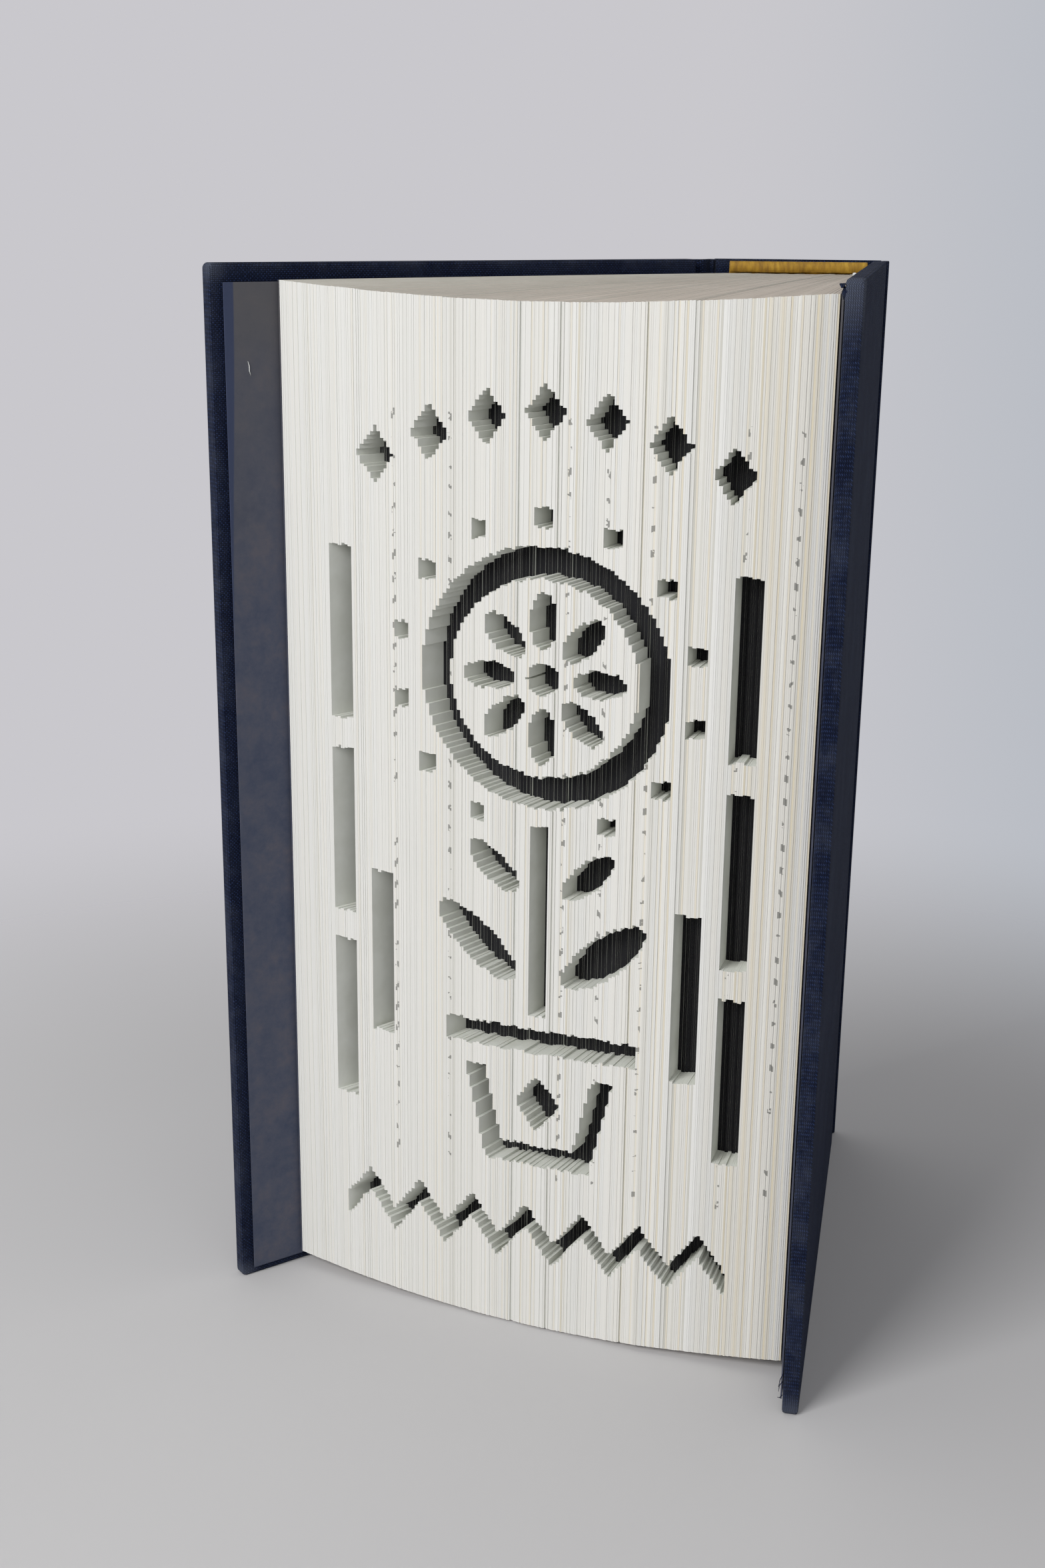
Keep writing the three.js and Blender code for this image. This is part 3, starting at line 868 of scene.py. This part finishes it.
def band_ring(x, edge_y, wave, turn):
    """The band's section at x: a bead over the page ends and a tongue down the block's back."""
    back = edge_y + NODE_GAP + BAND_TONGUE
    radius = BAND_BEAD / 2
    centre_y = back - radius
    centre_z = BAND_RISE - radius
    ring = [(back, -BAND_TONGUE_HEIGHT), (back, 0)]
    for step in range(BEAD_STEPS + 1):
        angle = math.pi * step / BEAD_STEPS
        ring.append((centre_y + radius * math.cos(angle), centre_z + radius * math.sin(angle)))
    ring.append((centre_y - radius + wave * LIP_SWAY, NODE_GAP + max(0, wave)))
    ring.append((back - BAND_TONGUE, NODE_GAP))
    ring.append((back - BAND_TONGUE, -BAND_TONGUE_HEIGHT))
    level = BOARD_HEIGHT - SQUARE if turn > 0 else SQUARE
    return [(x, y, level + turn * z) for y, z in ring]


def add_bands():
    """The head and tail bands, rolled cloth whose lower lip wavers."""
    material = ochre_band_material()
    for name, turn in (("headband", 1), ("tailband", -1)):
        rings = []
        for step in range(BAND_STEPS + 1):
            share = step / BAND_STEPS
            wave = LIP_WAVE * math.sin(LIP_WAVE_ANGLE * share + turn)
            wave += LIP_RIPPLE * math.sin(LIP_RIPPLE_ANGLE * share + LIP_RIPPLE_START)
            rings.append(band_ring(back_left.x + share * BLOCK_BACK_WIDTH, back_left.y, wave, turn))
        if turn < 0:
            rings.reverse()
        band = add_sweep(f"{name}_cloth", rings, material)
        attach(band, "block")
        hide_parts(name)


# Folds, threads and bits that ride on the covers
FOLD_RADIUS = 0.00098
FOLD_END_RADIUS = 0.0009
FOLD_END = 0.0001
FOLD_SHOULDER = 0.0004
FOLD_SIDES = 16
TUBE_SIDES = 8
THREAD_SIDES = 6
INNER_FACE = BOARD_THICKNESS - CLOTH_THICKNESS / 2
FIBRE_HEIGHT = 0.00008
FIBRE_FACE = NODE_GAP + PAPER_THICKNESS + FIBRE_HEIGHT
FIBRE_GREYS = ((0.3, (0.5, 0.52, 0.5)), (0.7, (0.72, 0.72, 0.7)))

# Points of the small pieces: reach from the hinge, distance past the inner face, and height
CORNER_POINTS = (
    (0.1376, -0.0006, 0.2366),
    (0.1381, -0.0001, 0.2380),
    (0.1385, 0.0004, 0.2388),
    (0.1388, 0.0011, 0.2391),
)
CORNER_RADII = (0.0010, 0.0009, 0.0006, 0.0001)
STRANDS = (
    ((0.1384, 0.0001, 0.0100), (0.1387, 0.0007, 0.0085), (0.1386, 0.0010, 0.0066)),
    ((0.1385, 0.0002, 0.0080), (0.1389, 0.0008, 0.0072), (0.1391, 0.0009, 0.0058)),
    ((0.1382, 0.0001, 0.0045), (0.1387, 0.0006, 0.0040), (0.1389, 0.0011, 0.0042)),
)
STRAND_RADII = (0.00012, 0.0001, 0.00005)
FIBRE_POINTS = (
    (0.1302, FIBRE_FACE, 0.2165),
    (0.1305, FIBRE_FACE, 0.2175),
    (0.1305, FIBRE_FACE, 0.2185),
    (0.1308, FIBRE_FACE, 0.2195),
)
FIBRE_RADII = (0.00005, 0.0001, 0.0001, 0.00005)
CRUMB_POINTS = (
    (0.0950, 0.0001, 0.2392),
    (0.0946, 0.0003, 0.2393),
    (0.0942, 0.0005, 0.2394),
    (0.0938, 0.0007, 0.2395),
)
CRUMB_RADII = (0.0002, 0.0005, 0.0004, 0.0002)


def add_joint_folds():
    """The fold of cloth that rolls with each cover beside the spine."""
    ends = (FOLD_END, FOLD_SHOULDER)
    middles = [BOARD_HEIGHT * share for share in (0.25, 0.5, 0.75)]
    levels = [*ends, *middles, *(BOARD_HEIGHT - end for end in reversed(ends))]
    radii = [FOLD_END_RADIUS, *[FOLD_RADIUS] * (len(levels) - 2), FOLD_END_RADIUS]
    for side, hinge in cover_hinge.items():
        cloth = navy_cloth_material(f"navy_fold_{side}", hinge, cover_angle[side])
        path = [(*hinge, level) for level in levels]
        fold = add_tube(f"{side}_joint_fold", path, radii, cloth, FOLD_SIDES)
        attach(fold, f"{side}_cover")


def add_on_cover(name, side, points, radii, material, sides=TUBE_SIDES):
    path = [(*cover_point(side, reach, INNER_FACE + out), up) for reach, out, up in points]
    piece = add_tube(name, path, radii, material, sides)
    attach(piece, f"{side}_cover")


def pale_fibre_material():
    material, tree, shader = new_material("pale_fibre")
    patches = noise(tree, object_coordinates(tree), scale=900)
    set_surface(tree, shader, ramp(tree, patches, FIBRE_GREYS), roughness=0.8)
    return material


def add_wear():
    """The pinched corner, frayed threads and bits of fibre that a used book shows."""
    navy = navy_cloth_material("navy_thread", cover_hinge["right"], cover_angle["right"])
    add_on_cover("pinched_corner", "right", CORNER_POINTS, CORNER_RADII, navy)
    for number, strand in enumerate(STRANDS):
        name = f"frayed_thread_{number}"
        add_on_cover(name, "right", strand, STRAND_RADII, navy, THREAD_SIDES)
    pale = pale_fibre_material()
    add_on_cover("paper_fibre", "left", FIBRE_POINTS, FIBRE_RADII, pale, THREAD_SIDES)
    add_on_cover("board_crumb", "right", CRUMB_POINTS, CRUMB_RADII, pale)


# Floor, background and lights
FLOOR_GREYS = ((0.3, (0.535, 0.528, 0.53)), (0.7, (0.555, 0.548, 0.55)))
FLOOR_HALF_SIZE = 3.0
FLOOR_CENTRE = (0, -0.1, 0)
FLOOR_FADE = (0.22, 0.50)
# The backdrop carries painted shade: darker and bluer on its right side than on its left
BACKGROUND_LEFT = (0.585, 0.577, 0.608)
BACKGROUND_RIGHT_SHADED = (0.485, 0.508, 0.555)
BACKGROUND_SHADE_TURN = (0.08, 0.30)
AMBIENT_COLOUR = (0.97, 0.975, 1.0, 1)
AMBIENT_STRENGTH = 0.42
LIGHT_AIM = (0, 0, 0.12)

# Each light's name, place, size and power
LIGHTS = (
    ("key", (-0.75, -0.8, 0.75), 0.6, 13),
    ("back", (-0.5, 0.9, 0.5), 1.1, 1.3),
    ("fill", (0.4, -1.1, 0.5), 0.8, 1.3),
)


def add_floor():
    """A pale floor that keeps the book's shadow and fades into the background further off."""
    material, tree, shader = new_material("floor")
    vector = object_coordinates(tree)
    colour = ramp(tree, noise(tree, vector, scale=3), FLOOR_GREYS)
    set_surface(tree, shader, colour, roughness=0.85, specular=0.2)
    away = vector_node(tree, "DISTANCE", vector, FLOOR_CENTRE).outputs["Value"]
    clear = node(tree, "ShaderNodeBsdfTransparent").outputs["BSDF"]
    fade = node(
        tree,
        "ShaderNodeMixShader",
        links={"Fac": rise(tree, away, *FLOOR_FADE), 1: shader.outputs["BSDF"], 2: clear},
    )
    tree.links.new(fade.outputs["Shader"], tree.nodes["Material Output"].inputs["Surface"])
    size = FLOOR_HALF_SIZE
    corners = [(-size, -size, 0), (size, -size, 0), (size, size, 0), (-size, size, 0)]
    add_mesh("floor", corners, [(0, 1, 2, 3)], [material])


def add_world():
    """Soft light from all round, with a plain backdrop whose painted shade dims it a little to the right.
    """
    world = bpy.data.worlds.new("world")
    bpy.context.scene.world = world
    world.use_nodes = True
    tree = world.node_tree
    ambient = tree.nodes["Background"]
    ambient.inputs["Color"].default_value = AMBIENT_COLOUR
    ambient.inputs["Strength"].default_value = AMBIENT_STRENGTH
    direction = node(tree, "ShaderNodeTexCoord").outputs["Generated"]
    turn = rise(tree, split(tree, direction)[0], *BACKGROUND_SHADE_TURN)
    backdrop = mix(tree, turn, BACKGROUND_LEFT, BACKGROUND_RIGHT_SHADED)
    seen = node(tree, "ShaderNodeBackground", links={"Color": backdrop})
    rays = node(tree, "ShaderNodeLightPath").outputs
    seen_by = math_node(tree, "MAXIMUM", rays["Is Camera Ray"], rays["Is Glossy Ray"])
    seen_by = math_node(tree, "MAXIMUM", seen_by, rays["Is Transmission Ray"])
    shown = node(
        tree,
        "ShaderNodeMixShader",
        links={"Fac": seen_by, 1: ambient.outputs["Background"], 2: seen.outputs["Background"]},
    )
    tree.links.new(shown.outputs["Shader"], tree.nodes["World Output"].inputs["Surface"])


def add_lights():
    for name, place, size, power in LIGHTS:
        lamp = bpy.data.objects.new(name, bpy.data.lights.new(name, "AREA"))
        lamp.data.size = size
        lamp.data.energy = power
        lamp.location = place
        lamp.rotation_euler = (Vector(LIGHT_AIM) - Vector(place)).to_track_quat("-Z", "Y").to_euler()
        bpy.context.collection.objects.link(lamp)


add_camera()
add_leaves()
add_bands()
add_joint_folds()
dress_nodes()
add_wear()
add_floor()
add_world()
add_lights()
bpy.context.scene.view_settings.view_transform = "Standard"
